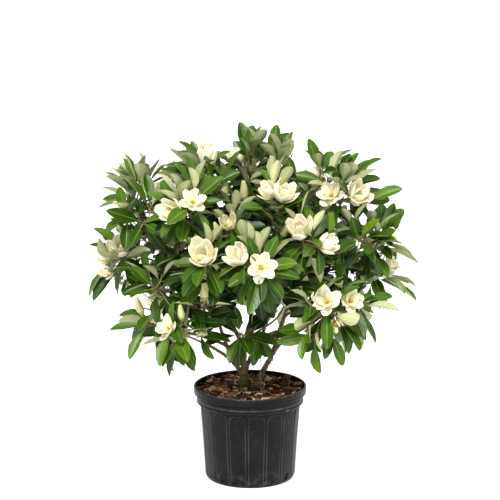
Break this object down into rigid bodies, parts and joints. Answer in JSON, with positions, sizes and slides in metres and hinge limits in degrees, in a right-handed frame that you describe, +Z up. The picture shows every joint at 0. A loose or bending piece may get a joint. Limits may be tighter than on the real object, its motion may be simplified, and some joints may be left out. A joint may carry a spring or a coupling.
{
  "type": "potted sweetbay magnolia in flower",
  "caption": "Bushy multi-stemmed magnolia with glossy leaves and cream cup flowers, growing in a ribbed black nursery pot.",
  "frame": {"origin": "centre of the pot's flat underside", "axes": "+Z up, -Y towards the side that the picture shows, +X to the right in the picture"},
  "size_m": [0.8352, 0.6939, 0.9136],
  "materials": {
    "pot_plastic": "satin moulded plastic",
    "bark_mulch": "rough shredded bark",
    "bark": "smooth grey-brown bark",
    "foliage": "glossy leaf",
    "petals": "waxy petal"
  },
  "bodies": {
    "root": {"bough_back_01": "bark", "bough_far_low_left": "bark", "bough_far_low_right": "bark", "bough_front": "bark", "bough_front_left": "bark", "bough_left": "bark", "bough_left_upper": "bark", "bough_low_left": "bark", "bough_low_right": "bark", "bough_middle": "bark", "bough_right": "bark", "bough_right_low": "bark", "bough_right_middle": "bark", "bough_top_left": "bark", "bough_top_right": "bark", "foliage_back_01": "foliage", "foliage_back_02": "foliage", "foliage_back_03": "foliage", "foliage_back_04": "foliage", "foliage_back_05": "foliage", "foliage_back_06": "foliage", "foliage_back_07": "foliage", "foliage_back_08": "foliage", "foliage_back_09": "foliage", "foliage_back_10": "foliage", "foliage_back_11": "foliage", "foliage_back_12": "foliage", "foliage_back_top_1": "foliage", "foliage_back_top_2": "foliage", "foliage_far_low_left": "foliage", "foliage_far_low_right": "foliage", "foliage_front": "foliage", "foliage_front_left": "foliage", "foliage_left": "foliage", "foliage_left_low": "foliage", "foliage_left_middle": "foliage", "foliage_left_top": "foliage", "foliage_left_upper": "foliage", "foliage_low_front": "foliage", "foliage_low_left": "foliage", "foliage_low_right": "foliage", "foliage_middle": "foliage", "foliage_right": "foliage", "foliage_right_low": "foliage", "foliage_right_middle": "foliage", "foliage_right_top": "foliage", "foliage_top": "foliage", "foliage_top_front": "foliage", "foliage_top_left": "foliage", "foliage_top_right": "foliage", "pot": "pot_plastic", "soil": "bark_mulch", "stem_back_left": "bark", "stem_back_right": "bark", "stem_left": "bark", "stem_middle": "bark", "stem_right": "bark", "trunk": "bark"}
  },
  "joints": []
}
